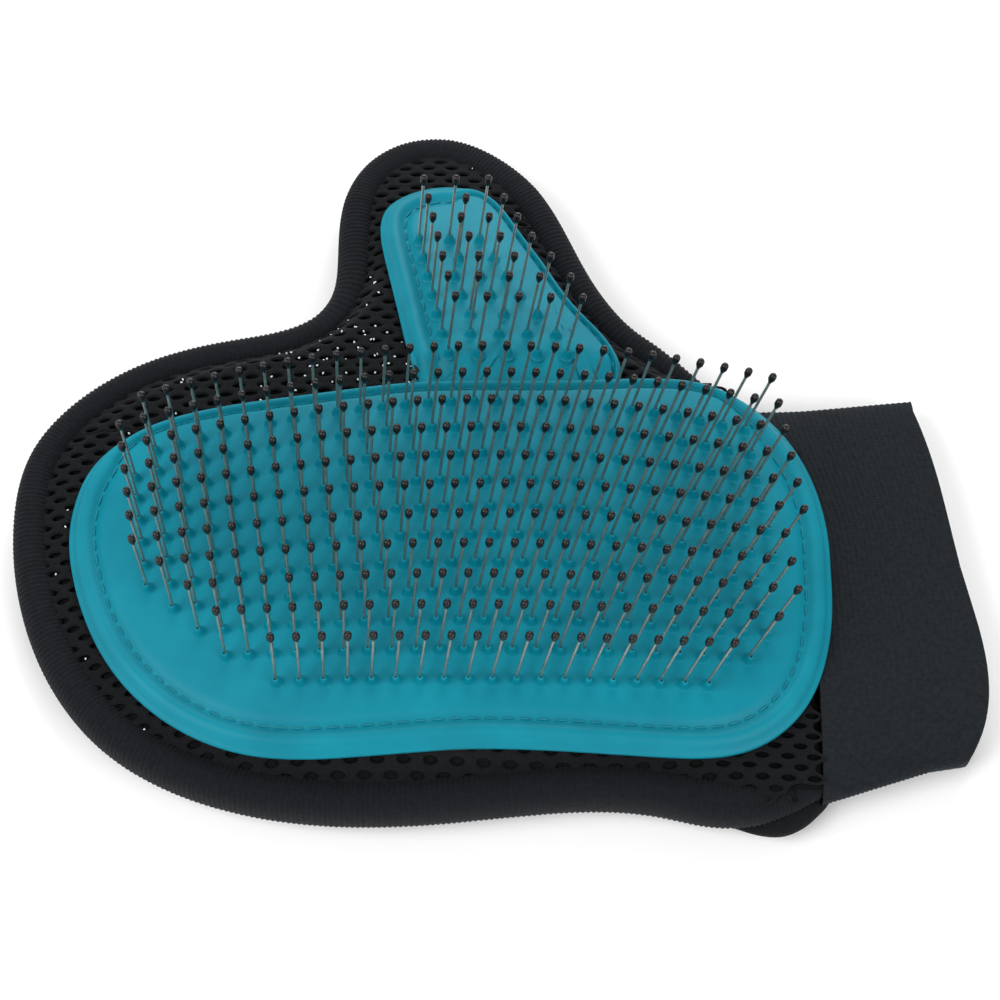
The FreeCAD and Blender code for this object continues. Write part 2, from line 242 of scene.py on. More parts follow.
# %% [markdown]
# ## Finishes
# The pads are soft moulded thermoplastic rubber: an even teal with a satin skin. The pins are
# drawn steel wire with drops of cured resin. All the cloth is black polyester, and only its
# construction tells it apart: ribbed binding, air mesh and elastic webbing.

# %% Moulded rubber
def rubber_finish():
    # A satin skin: broad soft highlights, and a faint cloudiness from the moulding.
    material, tree, shader = new_material("moulded_teal_rubber", "#007d90", 0.5, IOR=1.45,
                                          Specular_IOR_Level=0.22)
    place = varied_colour(tree, shader, "#00778a", "#028396", 60.0)
    grain = add_node(tree, "ShaderNodeTexNoise", [("Vector", place.outputs["Object"])],
                     Scale=1500.0, Detail=2.0)
    relief = add_node(tree, "ShaderNodeBump", [("Height", grain.outputs["Fac"])],
                      Distance=0.05 * MM, Strength=0.5)
    tree.links.new(relief.outputs["Normal"], shader.inputs["Normal"])
    return material


# %% Steel wire and resin drops
def wire_finish():
    # Drawn steel with a dull polish: long soft glints down each pin. The faint green cast in its grey
    # is a painted reflection of the teal pads, on top of the steel's own grey.
    material, tree, shader = new_material("drawn_steel_wire", "#a3aaa3", 0.42, Metallic=1.0)
    # The green tint of these greys is painted reflection of the teal rubber.
    place = varied_colour(tree, shader, "#969d96", "#b0b6b0", 400.0)
    streaks = add_node(tree, "ShaderNodeTexNoise", [("Vector", place.outputs["Object"])],
                       Scale=4000.0)
    relief = add_node(tree, "ShaderNodeBump", [("Height", streaks.outputs["Fac"])],
                      Distance=0.01 * MM, Strength=0.3)
    tree.links.new(relief.outputs["Normal"], shader.inputs["Normal"])
    return material


def resin_finish():
    # Cured resin, nearly black with a brown cast, shiny where it pulled itself round.
    material, tree, shader = new_material("cured_resin", "#0d090b", 0.34, IOR=1.5,
                                          Specular_IOR_Level=0.4)
    place = varied_colour(tree, shader, "#090607", "#120d0f", 700.0)
    dimples = add_node(tree, "ShaderNodeTexNoise", [("Vector", place.outputs["Object"])],
                       Scale=1800.0)
    relief = add_node(tree, "ShaderNodeBump", [("Height", dimples.outputs["Fac"])],
                      Distance=0.04 * MM, Strength=0.4)
    tree.links.new(relief.outputs["Normal"], shader.inputs["Normal"])
    return material


# %% Black cloths
def cloth_finish(name, dark, light, thread_mm, relief_mm, roughness=0.9, sheen=0.03, bands=None):
    """Knitted polyester: threads this far apart, with a soft sheen at grazing angles."""
    material, tree, shader = new_material(name, light, roughness, Sheen_Weight=sheen,
                                          Sheen_Roughness=0.5, Specular_IOR_Level=0.16)
    place = varied_colour(tree, shader, dark, light, 900.0)
    # One wave of the texture is 2 pi / (20 * scale) long.
    scale = 2 * math.pi / (20 * thread_mm * MM)
    fine = add_node(tree, "ShaderNodeTexVoronoi", [("Vector", place.outputs["Object"])],
                    Scale=1 / (thread_mm * MM))
    relief = add_node(tree, "ShaderNodeBump", [("Height", fine.outputs["Distance"])],
                      Distance=relief_mm * MM, Strength=0.8)
    if bands:
        wave = add_node(tree, "ShaderNodeTexWave", [("Vector", place.outputs["Object"])],
                        bands_direction=bands, Scale=scale, Distortion=1.5)
        relief = add_node(tree, "ShaderNodeBump",
                          [("Height", wave.outputs["Fac"]), ("Normal", relief.outputs["Normal"])],
                          Distance=relief_mm * MM, Strength=0.8)
    tree.links.new(relief.outputs["Normal"], shader.inputs["Normal"])
    return material


FINISH = {
    "pad_rubber": rubber_finish(),
    "pin_wire": wire_finish(),
    "pin_tip": resin_finish(),
    # The binding's ribs are modelled; this adds the stitches within each rib.
    "binding_cloth": cloth_finish("ribbed_knit_binding", "#0d1014", "#14171c", 0.5, 0.12),
    "air_mesh": cloth_finish("air_mesh_knit", "#090b0d", "#101216", 0.45, 0.2),
    "foam": cloth_finish("open_foam", "#060708", "#0c0d0f", 0.6, 0.2, 0.95, 0.0),
    "lining_cloth": cloth_finish("brushed_lining", "#131417", "#1b1d21", 0.4, 0.05),
    "backing_cloth": cloth_finish("woven_backing", "#202224", "#2a2c2f", 0.5, 0.08),
    "cuff_elastic": cloth_finish("ribbed_elastic_webbing", "#14181c", "#1d2226", 0.42, 0.10,
                                 bands="Y"),
    "thread": cloth_finish("sewing_thread", "#12707f", "#1b8193", 0.3, 0.05, 0.6),
}
for entry in frame["record"]["subparts"]:
    node = frame["nodes"][entry["node"]]
    node.data.materials.clear()
    node.data.materials.append(FINISH[entry["material_slot"]])
print("finishes:", ", ".join(m.name for m in FINISH.values()))

# %% [markdown]
# ## Making a piece
# Most pieces here grow ring by ring: a loop of edges is extruded, and the new loop is put where
# the next line of the shape runs. One function does the extruding, so each piece only says where
# its rings lie.

# %% Rings
def loop_from(bm, places):
    """The first loop of a piece: its points joined by edges."""
    points = [bm.verts.new(p) for p in places]
    edges = [bm.edges.new(pair) for pair in zip(points, points[1:] + points[:1])]
    return points, edges


def next_ring(bm, ring, places):
    """Extrudes a loop and moves its copy to the given places. Returns the new loop."""
    points, edges = ring
    made = bmesh.ops.extrude_edge_only(bm, edges=edges)["geom"]
    old = set(points)
    partner = {}
    for point in (g for g in made if isinstance(g, bmesh.types.BMVert)):
        for link in point.link_edges:
            if link.other_vert(point) in old:
                partner[link.other_vert(point)] = point
    new_points = [partner[p] for p in points]
    for point, place in zip(new_points, places):
        point.co = place
    fresh = set(new_points)
    new_edges = [g for g in made if isinstance(g, bmesh.types.BMEdge) and
                 g.verts[0] in fresh and g.verts[1] in fresh]
    return new_points, new_edges


def rings_piece(bm, rings):
    """A skin through a list of rings of places. Returns its first and last loop."""
    first = ring = loop_from(bm, rings[0])
    for places in rings[1:]:
        ring = next_ring(bm, ring, places)
    return first, ring


def finish_piece(name, bm, slot, body=None, normals=True):
    """Turns a bmesh into an object with its finish."""
    if normals:
        bmesh.ops.recalc_face_normals(bm, faces=bm.faces)
    mesh = bpy.data.meshes.new(name)
    bm.to_mesh(mesh)
    bm.free()
    mesh.shade_smooth()
    piece = bpy.data.objects.new(name, mesh)
    scene.collection.objects.link(piece)
    mesh.materials.append(FINISH[slot])
    if body:
        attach(piece, body)
    print("%-22s %7d faces" % (name, len(mesh.polygons)))
    return piece


def compacted(bm):
    """The same bmesh without the gaps that merged points leave, so that new points come last."""
    mesh = bpy.data.meshes.new("compacted")
    bm.to_mesh(mesh)
    bm.free()
    fresh = bmesh.new()
    fresh.from_mesh(mesh)
    return fresh


def stamp(bm, template, place, turn):
    """Adds a copy of a small mesh at a place, with its +Z turned to a direction."""
    start = len(bm.verts)
    bm.from_mesh(template)
    bm.verts.ensure_lookup_table()
    matrix = Matrix.Translation(place) @ turn.to_matrix().to_4x4()
    bmesh.ops.transform(bm, matrix=matrix, verts=bm.verts[start:])


# %% [markdown]
# ## Where the pins stand
# Each wire starts on the backing cloth. The bottom circle of each one lies at that depth under
# the dome, so those points, gathered into groups, give every pin's foot.

# %% Find the feet of the pins
def feet(names):
    found = []
    for name in names:
        spots = np.array([v.co for v in frame["nodes"][name].data.vertices])
        depth = ball_radius - np.linalg.norm(spots - ball_middle, axis=1)
        groups = []
        for spot in spots[abs(depth - RUBBER) < 0.06 * MM]:
            group = next((g for g in groups if np.hypot(*(g[0] - spot)[:2]) < 1.2 * MM), None)
            if group is None:
                groups.append([spot])
            else:
                group.append(spot)
        found += [Vector(np.mean(g, axis=0)) for g in groups]
    return found


main_feet = feet([n for n in frame["nodes"] if n.startswith("main_pins_row")])
thumb_feet = feet(["thumb_pins"])
print("pins:", len(main_feet), "on the palm,", len(thumb_feet), "on the thumb")

# %% [markdown]
# ## The rubber pads
# Each pad is one moulding. From its edge inwards it has a thin lip, a rolled rim as high as a
# shoelace, a sewn groove, and then the field with a small cone round every wire. The profile
# below is swept round the outline; the rings then close on a line down the pad's middle.

# %% The rim's profile, as (distance in from the edge, height over the field) in millimetres
RIM = [(0.5, -3.5), (0.0, -3.1), (0.0, -2.2), (0.25, -1.9), (0.8, -1.75), (1.25, -1.45), (1.6, -0.8),
       (2.1, -0.15), (2.8, 0.3), (3.6, 0.45), (4.4, 0.3), (5.1, -0.1), (5.7, -0.55), (6.2, -0.95),
       (6.7, -1.0), (7.1, -0.75), (7.7, -0.3), (8.6, -0.06), (9.6, 0.0)]
STITCH_LINE = 6.45

FIELD_RINGS = (0.12, 0.26, 0.42, 0.58, 0.74, 0.88, 1.0)


# %% A cone round each wire
def cone_template():
    """A small volcano: a wide foot that runs out flat, steep sides and a flat top."""
    bm = bmesh.new()
    profile = [(1.75, -0.05), (1.45, 0.2), (1.2, 0.7), (1.0, 1.5), (0.82, 2.3), (0.66, 2.8),
               (0.3, 2.95)]
    line = [bm.verts.new((r * MM, 0, h * MM)) for r, h in profile]
    edges = [bm.edges.new(pair) for pair in zip(line, line[1:])]
    bmesh.ops.spin(bm, geom=line + edges, axis=(0, 0, 1), cent=(0, 0, 0), steps=14,
                   angle=2 * math.pi, use_merge=True)
    bmesh.ops.recalc_face_normals(bm, faces=bm.faces)
    mesh = bpy.data.meshes.new("cone_template")
    bm.to_mesh(mesh)
    bm.free()
    if mesh.polygons[0].normal.z < 0:
        mesh.flip_normals()
    return mesh


CONE = cone_template()


def heart_of(edge):
    """Sends each point to the short line down a pad's middle on which its rings close."""
    low, high = edge.min(axis=0), edge.max(axis=0)
    half = (high[1] - low[1]) / 2
    level = (low[1] + high[1]) / 2
    return np.stack([np.clip(edge[:, 0], low[0] + half, max(low[0] + half, high[0] - half)),
                     np.full(len(edge), level)], axis=1)


def smooth_step(share):
    share = np.clip(share, 0, 1)
    return share * share * (3 - 2 * share)


MAIN_NARROW = np.array([0.0, 1.0]), 0.52
THUMB_NARROW = np.array([0.87, 0.5]), 0.7


def rim_steps(edge, narrow):
    """Steps into the pad all round; where the edge faces one way the rim is narrower."""
    inward = leftward(edge, True)
    way, cut = narrow
    return inward * (1 - cut * smooth_step((-(inward @ way)[:, None] - 0.55) / 0.4))


def rubber_pad(name, edge, narrow, pins, body, node, sunk=lambda y: 0 * y):
    """Sweeps the rim round the edge, closes the field and sets a cone round each pin."""
    bm = bmesh.new()
    inward = rim_steps(edge, narrow)
    lines = [(edge + inward * inset * MM, height * MM) for inset, height in RIM]
    inner = lines[-1][0]
    heart = heart_of(inner)
    lines += [(inner + (heart - inner) * share, 0.0) for share in FIELD_RINGS]
    rings_piece(bm, [[Vector((x, y, dome(x, y, height) - sunk(y))) for x, y in line]
                     for line, height in lines])
    bmesh.ops.remove_doubles(bm, verts=bm.verts, dist=0.02 * MM)
    bm = compacted(bm)
    for foot in pins:
        up = (foot - Vector(ball_middle)).normalized()
        stamp(bm, CONE, foot + up * RUBBER, Vector((0, 0, 1)).rotation_difference(up))
    piece = finish_piece(name, bm, "pad_rubber", body=body, normals=False)
    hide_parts(node)
    return piece


rubber_pad("main_rubber_pad", main_edge, MAIN_NARROW, main_feet, "hand", "main_pad")

# %% [markdown]
# The thumb's pad runs on under the main pad's edge, so its lower side is drawn out and let down
# below the main pad's lip.

# %% The thumb's pad
TUCK_TOP = thumb_low[1] + 3.5 * MM
TUCK_RUN = 5 * MM
TUCK_DEPTH = 2.4 * MM
TUCK_REACH = 16 * MM
tucked = thumb_edge.copy()
low_side = tucked[:, 1] < thumb_low[1] + 1.2 * MM
tucked[low_side, 1] = thumb_low[1] - TUCK_REACH
thumb_line = eased(spread(tucked, 1.0 * MM, True), 8, True)


def tuck(y):
    return TUCK_DEPTH * smooth_step((TUCK_TOP - y) / TUCK_RUN)


rubber_pad("thumb_rubber_pad", thumb_line, THUMB_NARROW, thumb_feet, "thumb", "thumb_pad", tuck)

# %% [markdown]
# ## Stitching
# A lockstitch shows as a row of short thread lengths with a needle hole between them. One stitch
# is a small capsule, and a copy of it is laid every four millimetres along the groove.

# %% Lay the stitches
STITCH_PITCH = 4.0 * MM
STITCH_DEPTH = 0.78 * MM
THREAD_RADIUS = 0.27 * MM
STITCH_STRETCH = 5.6


def stitch_template():
    bm = bmesh.new()
    bmesh.ops.create_uvsphere(bm, u_segments=8, v_segments=7, radius=THREAD_RADIUS)
    bmesh.ops.scale(bm, vec=(1, 1, STITCH_STRETCH), verts=bm.verts)
    mesh = bpy.data.meshes.new("stitch_template")
    bm.to_mesh(mesh)
    bm.free()
    return mesh


STITCH = stitch_template()


def stitching(name, edge, narrow, body, node, keep=lambda x, y: True, sunk=lambda y: 0 * y):
    bm = bmesh.new()
    line = spread(edge + rim_steps(edge, narrow) * STITCH_LINE * MM, STITCH_PITCH, True)
    ahead = -leftward(line, True)[:, ::-1] * np.array([-1, 1])
    for (x, y), step in zip(line, ahead):
        if not keep(x, y):
            continue
        a = Vector((x, y, 0)) - Vector((*step, 0)) * MM
        b = Vector((x, y, 0)) + Vector((*step, 0)) * MM
        a.z = dome(a.x, a.y, -STITCH_DEPTH)
        b.z = dome(b.x, b.y, -STITCH_DEPTH)
        middle = (a + b) / 2 - Vector((0, 0, sunk(y)))
        stamp(bm, STITCH, middle, Vector((0, 0, 1)).rotation_difference((b - a).normalized()))
    piece = finish_piece(name, bm, "thread", body=body)
    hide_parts(node)
    return piece


stitching("main_stitches", main_edge, MAIN_NARROW, "hand", "main_pad_stitching")
stitching("thumb_stitches", thumb_line, THUMB_NARROW, "thumb", "thumb_pad_stitching",
          lambda x, y: y > TUCK_TOP - 2 * MM, tuck)

# %% [markdown]
# ## The bound edge
# A strip of ribbed knit is folded over the raw edges and stuffed by them, so it stands as a round
# roll. It is drawn as a run of cross-sections, four to a rib, smallest in the groove between ribs.
# Where the mitt is thin the roll is lower. Towards the wrist, on the heel's side, it climbs and
# draws in to the cuff's seam.

# %% How high the palm lies
ROLL_WIDTH = 10.4 * MM
ROLL_TOP = min(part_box("hand_binding")[1][2], 15.2 * MM)
CREASE = thumb_low[1] - 0.7 * MM
wrist_low = mitt_edge[-1]


def depth_in(spots, edge):
    """How far inside a closed outline each spot is; negative outside."""
    gaps = np.concatenate([np.linalg.norm(part[:, None] - edge[None], axis=2).min(axis=1)
                           for part in np.array_split(spots, max(1, len(spots) // 500))])
    ends = np.roll(edge, -1, axis=0)
    inside = np.zeros(len(spots), bool)
    for (ax, ay), (bx, by) in zip(edge, ends):
        if ay != by:
            crosses = (spots[:, 1] > ay) != (spots[:, 1] > by)
            inside ^= crosses & (spots[:, 0] < (bx - ax) * (spots[:, 1] - ay) / (by - ay) + ax)
    return np.where(inside, gaps, -gaps)


def roll_height(x, y):
    return np.minimum(dome(x, y, -3.5 * MM + 1.0 * MM), ROLL_TOP)


def palm_height(spots):
    """The mesh's top: on the dome under the pads, rounding down to the bound edge."""
    high = dome(spots[:, 0], spots[:, 1], -3.5 * MM)
    depth = depth_in(spots, cloth_area)
    edge_height = np.minimum(high, roll_height(spots[:, 0], spots[:, 1]) - 1.6 * MM)
    near = 1 - smooth_step((depth - 7.0 * MM) / (6.5 * MM))
    return high + (edge_height - high) * near


# %% The roll
RIB_PITCH = 1.25 * MM
RIB_DEPTH = 0.32 * MM
HEEL_RISE = 5.0 * MM
HEEL_START = 46 * MM
THIN_START, THIN_END = 40 * MM, wrist_x - 12 * MM
RING_POINTS = 18


def heel_draw(x, y):
    """How much of the way to the cuff's seam a point on the heel's side has gone."""
    return float(smooth_step((x - HEEL_START) / (wrist_x - HEEL_START)) * (y < 0))


def wrist_draw(x, y):
    """The same on the thumb's side, where the roll thins and slips under the main pad."""
    return float(smooth_step((x - THIN_START) / (THIN_END - THIN_START)) * (y > 0))


def roll_ring(place, inward, groove):
    heel, wrist = heel_draw(*place), wrist_draw(*place)
    foot = Vector((*(place + inward * (3.4 * heel + 5.5 * wrist) * MM), HEEL_RISE * heel))
    half = (ROLL_WIDTH - (1.0 * heel + 4.0 * wrist) * MM) / 2
    top = float(roll_height(*(place + inward * 5 * MM))) - 3.0 * MM * heel - 2.0 * MM * wrist
    tall = top - foot.z
    ring = []
    for step in range(RING_POINTS):
        turn = 2 * math.pi * step / RING_POINTS
        c, d = math.cos(turn), math.sin(turn)
        across = half + (half - groove) * math.copysign(abs(c) ** 0.85, -c)
        up = tall / 2 + (tall / 2 - groove) * math.copysign(abs(d) ** 0.85, d)
        ring.append(foot + Vector((*(inward * across), up)))
    return ring


def ribbed_ring(index, place, inward):
    return roll_ring(place, inward, RIB_DEPTH * (0, 0.5, 1, 0.5)[index % 4])


def roll(name, line, slot, nodes=(), ring_at=ribbed_ring):
    """A closed tube of rings along a line, and the CAD nodes that it replaces."""
    bm = bmesh.new()
    inward = leftward(line, False)
    ends = rings_piece(bm, [ring_at(index, place, step)
                            for index, (place, step) in enumerate(zip(line, inward))])
    for _, edges in ends:
        bmesh.ops.edgeloop_fill(bm, edges=edges)
    piece = finish_piece(name, bm, slot)
    if nodes:
        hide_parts(*nodes)
    return piece


THUMB_TIP_X = 10 * MM
FINGERS_X = -90 * MM
BULGE_START, BULGE_ROUND = 50 * MM, 66 * MM
SEAM_Y = CREASE - 12.5 * MM
heel_end = wrist_low + np.array([5.2 * MM, 2.2 * MM])
fine_edge = eased(spread(np.vstack([mitt_edge, heel_end]), RIB_PITCH / 4, False), 60, False)
past_tip = int(np.argmax(fine_edge[:, 0] < THUMB_TIP_X))
on_fingers = int(np.argmax((fine_edge[:, 0] < FINGERS_X) & (fine_edge[:, 1] < 0)))
roll_right = roll("thumb_binding_wrist_side", fine_edge[:past_tip + 1], "binding_cloth",
                  ["thumb_binding", "thumb_piping"])
roll_left = roll("thumb_binding_finger_side", fine_edge[past_tip:on_fingers + 1], "binding_cloth")
roll_hand = roll("hand_binding_roll", fine_edge[on_fingers:], "binding_cloth",
                 ["hand_binding", "hand_piping"])


def bulge_ring(index, place, inward):
    """The back panel swells out under the roll beside the cuff, and its end is rounded off."""
    swell = float(smooth_step((place[0] - BULGE_START) / (20 * MM)))
    past = max(0.0, place[0] - BULGE_ROUND) / (heel_end[0] + 0.2 * MM - BULGE_ROUND)
    end = math.sqrt(max(0.04, 1 - past ** 2))
    half = (2.0 + 3.8 * swell) * MM * end
    tall = (2.0 + 6.0 * swell) * MM * end
    middle = Vector((*(place + inward * (5.8 - 0.6 * swell) * MM), 0.3 * MM + 4.0 * MM * swell))
    ring = []
    for step in range(RING_POINTS):
        turn = 2 * math.pi * step / RING_POINTS
        ring.append(middle + Vector((*(-inward * half * math.cos(turn)), tall / 2 * math.sin(turn))))
    return ring


near_cuff = fine_edge[(fine_edge[:, 0] > BULGE_START) & (fine_edge[:, 1] < 0)]
bulge = roll("back_panel_bulge", near_cuff, "air_mesh", ring_at=bulge_ring)
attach(bulge, "hand")
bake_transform(roll_right)
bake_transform(roll_left)
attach(roll_hand, "hand")

# %% [markdown]
# ## Air mesh
# Spacer mesh is knitted with staggered oval holes. A grid is turned into brickwork by dissolving
# every second upright edge, and smoothing the bricks makes hexagons. Each one is then inset, and
# the middle taken out, which leaves a net of threads as in the real cloth. Cells that the pads
# hide are left out.

# %% Knit the net
HOLE_PITCH = 6.1 * MM
HOLE_ROW = 2.45 * MM
STRAND = 0.62 * MM
NET_THICK = 0.9 * MM


def honeycomb(low, high):
    """A flat sheet of staggered hexagons over this rectangle."""
    bm = bmesh.new()
    columns = math.ceil((high[0] - low[0]) / (HOLE_PITCH / 2))
    rows = math.ceil((high[1] - low[1]) / HOLE_ROW)
    bmesh.ops.create_grid(bm, x_segments=columns, y_segments=rows, size=1)
    for point in bm.verts:
        point.co.x = low[0] + (point.co.x + 1) / 2 * columns * HOLE_PITCH / 2
        point.co.y = low[1] + (point.co.y + 1) / 2 * rows * HOLE_ROW
    upright = []
    for edge in bm.edges:
        a, b = edge.verts
        if abs(a.co.x - b.co.x) < 1e-6 and len(edge.link_faces) == 2:
            column = round((a.co.x - low[0]) / (HOLE_PITCH / 2))
            row = math.floor((min(a.co.y, b.co.y) - low[1]) / HOLE_ROW + 0.5)
            if (column + row) % 2:
                upright.append(edge)
    bmesh.ops.dissolve_edges(bm, edges=upright, use_verts=False, use_face_split=False)
    inner = [v for v in bm.verts if not v.is_boundary]
    for _ in range(4):
        bmesh.ops.smooth_vert(bm, verts=inner, factor=0.5, use_axis_x=True, use_axis_y=True)
    return bm


def net(name, keep, height):
    """The net over the cells that keep() chooses, at the heights that height() gives."""
    low, high = mitt_edge.min(axis=0), mitt_edge.max(axis=0) + np.array([5 * MM, 0])
    bm = honeycomb(low, high)
    centres = np.array([f.calc_center_median()[:2] for f in bm.faces])
    chosen = keep(centres)
    bm.faces.ensure_lookup_table()
    bmesh.ops.delete(bm, geom=[f for f, k in zip(bm.faces[:], chosen) if not k], context="FACES")
    cells = bm.faces[:]
    bmesh.ops.inset_individual(bm, faces=cells, thickness=STRAND, use_even_offset=True)
    holes = [Vector(f.calc_center_median()) for f in cells]
    for cell, middle in zip(cells, holes):
        bmesh.ops.scale(bm, vec=(0.72, 0.95, 1), space=Matrix.Translation(-middle), verts=cell.verts)
    bmesh.ops.delete(bm, geom=cells, context="FACES_ONLY")
    spots = np.array([v.co[:2] for v in bm.verts])
    for point, z in zip(bm.verts, height(spots)):
        point.co.z = z
    piece = finish_piece(name, bm, "air_mesh")
    if piece.data.polygons[0].normal.z < 0:
        piece.data.flip_normals()
    solid = piece.modifiers.new("thickness", "SOLIDIFY")
    solid.thickness = NET_THICK
    solid.offset = -1
    rounder = piece.modifiers.new("round", "SUBSURF")
    rounder.levels = rounder.render_levels = 1
    settle(piece)
    return piece, holes


def settle(piece):
    """Applies a piece's modifiers."""
    depsgraph = bpy.context.evaluated_depsgraph_get()
    mesh = bpy.data.meshes.new_from_object(piece.evaluated_get(depsgraph))
    piece.modifiers.clear()
    piece.data = mesh
    mesh.shade_smooth()


UNDER_ROLL = 5.5 * MM
UNDER_PAD = 3.5 * MM
past_wrist = np.array([9 * MM, 0])
cloth_area = np.vstack([mitt_edge, mitt_edge[-1] + past_wrist, mitt_edge[0] + past_wrist])


def before_cuff(spots):
    """Only places that the cuff's start doesn't already cover."""
    level = smooth_step((spots[:, 1] + 75 * MM) / (30 * MM))
    return spots[:, 0] < wrist_x - 0.8 * MM - 8.6 * MM * level


def inside_roll(spots, margin):
    """Places the roll leaves open; beside the wrist, on the thumb's side, only the pad's own."""
    heel = smooth_step((spots[:, 0] - BULGE_START) / (20 * MM)) * (spots[:, 1] < -55 * MM)
    upper_wrist = (spots[:, 0] > wrist_x - 18 * MM) & (spots[:, 1] > 0)
    bare = upper_wrist & (depth_in(spots, main_edge) < 2 * MM)
    return (depth_in(spots, cloth_area) > margin + 0.8 * MM * heel) & ~bare


def palm_cells(spots):
    tucked_in = spots[:, 1] < TUCK_TOP + 4 * MM
    under_thumb = depth_in(spots, thumb_line) > np.where(tucked_in, 0.5 * MM, UNDER_PAD)
    under_main = depth_in(spots, main_edge) > UNDER_PAD
    return inside_roll(spots, UNDER_ROLL) & ~under_thumb & ~under_main & before_cuff(spots)


def back_cells(spots):
    return inside_roll(spots, UNDER_ROLL) & (spots[:, 0] < wrist_x)


def sheet_cells(spots):
    return inside_roll(spots, 4.5 * MM) & (spots[:, 0] < wrist_x + 1 * MM)


def in_part(cells, part):
    """Only the cells of the hand's part, or of the thumb side left or right of its tip."""
    def keep(spots):
        above = spots[:, 1] > SEAM_Y
        right = spots[:, 0] > THUMB_TIP_X
        wanted = {"hand": ~above, "left": above & ~right, "right": above & right}[part]
        return cells(spots) & wanted
    return keep


def join_to(piece, part):
    if part == "hand":
        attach(piece, "hand")
    else:
        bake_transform(piece)


CAD_FOR = {"hand": ["palm_mesh"], "left": ["thumb_mesh"], "right": []}
BACK_FOR = {"hand": ["back_mesh"], "left": ["thumb_back_mesh"], "right": []}
palm_holes = []
for part in ("hand", "left", "right"):
    piece, holes = net("palm_net_" + part, in_part(palm_cells, part), palm_height)
    palm_holes += [(spot, part) for spot in holes]
    if CAD_FOR[part]:
        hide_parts(*CAD_FOR[part])
    join_to(piece, part)
    piece, _ = net("back_net_" + part, in_part(back_cells, part),
                   lambda spots: np.full(len(spots), 1.0 * MM))
    if BACK_FOR[part]:
        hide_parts(*BACK_FOR[part])
    join_to(piece, part)

# %% [markdown]
# The mesh is held open by clear nylon monofilament between its two faces. Where a loop of it
# catches the light in a hole it shows as a white glint, so small glossy beads are scattered in
# the holes near the mitt's edge, more of them beside the thumb and at the fingers' end. Their
# near-white colour is a painted highlight that stands in for that glint; the clear nylon itself is not
# white.

# %% Glints of monofilament
def glint_template():
    bm = bmesh.new()
    bmesh.ops.create_icosphere(bm, subdivisions=1, radius=0.26 * MM)
    bmesh.ops.scale(bm, vec=(1, 1, 1.5), verts=bm.verts)
    mesh = bpy.data.meshes.new("glint_template")
    bm.to_mesh(mesh)
    bm.free()
    return mesh


# Near-white and glossy: a painted highlight for the glints, not the clear nylon's own colour.
painted_glint_finish, _, _ = new_material("painted_glint_nylon_finish", "#e4e8ea", 0.15, IOR=1.53)
GLINT = glint_template()


def glint_chance(spot):
    """More glints in the web beside the thumb, some at the fingers' end, few elsewhere."""
    web = max(0.0, 1 - math.hypot(spot.x + 32 * MM, spot.y - 24 * MM) / (35 * MM))
    fingers = float(smooth_step((-55 * MM - spot.x) / (50 * MM)) * smooth_step(-spot.y / (30 * MM)))
    return 0.03 + 0.9 * web + 0.22 * fingers


for part in ("hand", "left"):
    bm = bmesh.new()
    for spot in (spot for spot, owner in palm_holes if owner == part):
        if chance.random() > glint_chance(spot):
            continue
        for _ in range(chance.choice((1, 1, 2))):
            place = spot + Vector((chance.uniform(-1, 1), chance.uniform(-0.7, 0.7), 0)) * 1.2 * MM
            place.z = float(palm_height(np.array([place[:2]]))[0]) - 0.35 * MM
            turn = Quaternion((chance.uniform(-1, 1), chance.uniform(-1, 1), 0.2, 1)).normalized()
            stamp(bm, GLINT, place, turn)
    piece = finish_piece("monofilament_painted_glint_" + part, bm, "air_mesh")
    piece.data.materials.clear()
    piece.data.materials.append(painted_glint_finish)
    join_to(piece, part)

# %% [markdown]
# Under the net lies the mesh's own inner face over dark foam. It closes the holes, so one plain
# sheet a little lower down is enough, on the palm and on the back.

# %% The sheets behind the net
def backing_sheet(name, part, height, nodes=()):
    bm = bmesh.new()
    low, high = mitt_edge.min(axis=0), mitt_edge.max(axis=0)
    step = 3 * MM
    bmesh.ops.create_grid(bm, x_segments=math.ceil((high[0] - low[0]) / step),
                          y_segments=math.ceil((high[1] - low[1]) / step), size=1)
    for point in bm.verts:
        point.co.x = low[0] + (point.co.x + 1) / 2 * (high[0] - low[0])
        point.co.y = low[1] + (point.co.y + 1) / 2 * (high[1] - low[1])
    centres = np.array([f.calc_center_median()[:2] for f in bm.faces])
    chosen = in_part(sheet_cells, part)(centres)
    bmesh.ops.delete(bm, geom=[f for f, k in zip(bm.faces[:], chosen) if not k], context="FACES")
    spots = np.array([v.co[:2] for v in bm.verts])
    for point, z in zip(bm.verts, height(spots)):
        point.co.z = z
    piece = finish_piece(name, bm, "foam")
    solid = piece.modifiers.new("thickness", "SOLIDIFY")
    solid.thickness = 0.6 * MM
    settle(piece)
    if nodes:
        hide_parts(*nodes)
    join_to(piece, part)


FOAM_FOR = {"hand": ["palm_foam"], "left": ["thumb_foam"], "right": []}
for part in ("hand", "left", "right"):
    backing_sheet("palm_sheet_" + part, part, lambda spots: palm_height(spots) - 1.7 * MM,
                  FOAM_FOR[part])
    backing_sheet("back_sheet_" + part, part, lambda spots: np.full(len(spots), 2.2 * MM))

# %% [markdown]
# ## The cuff
# Elastic webbing is woven with thick cords along it, which show as fine ribs. The band is folded
# in two at the wrist's mouth, so the piece runs out along its outside, round the fold and back
# along its inside. Its start is caught under the end of the main pad.

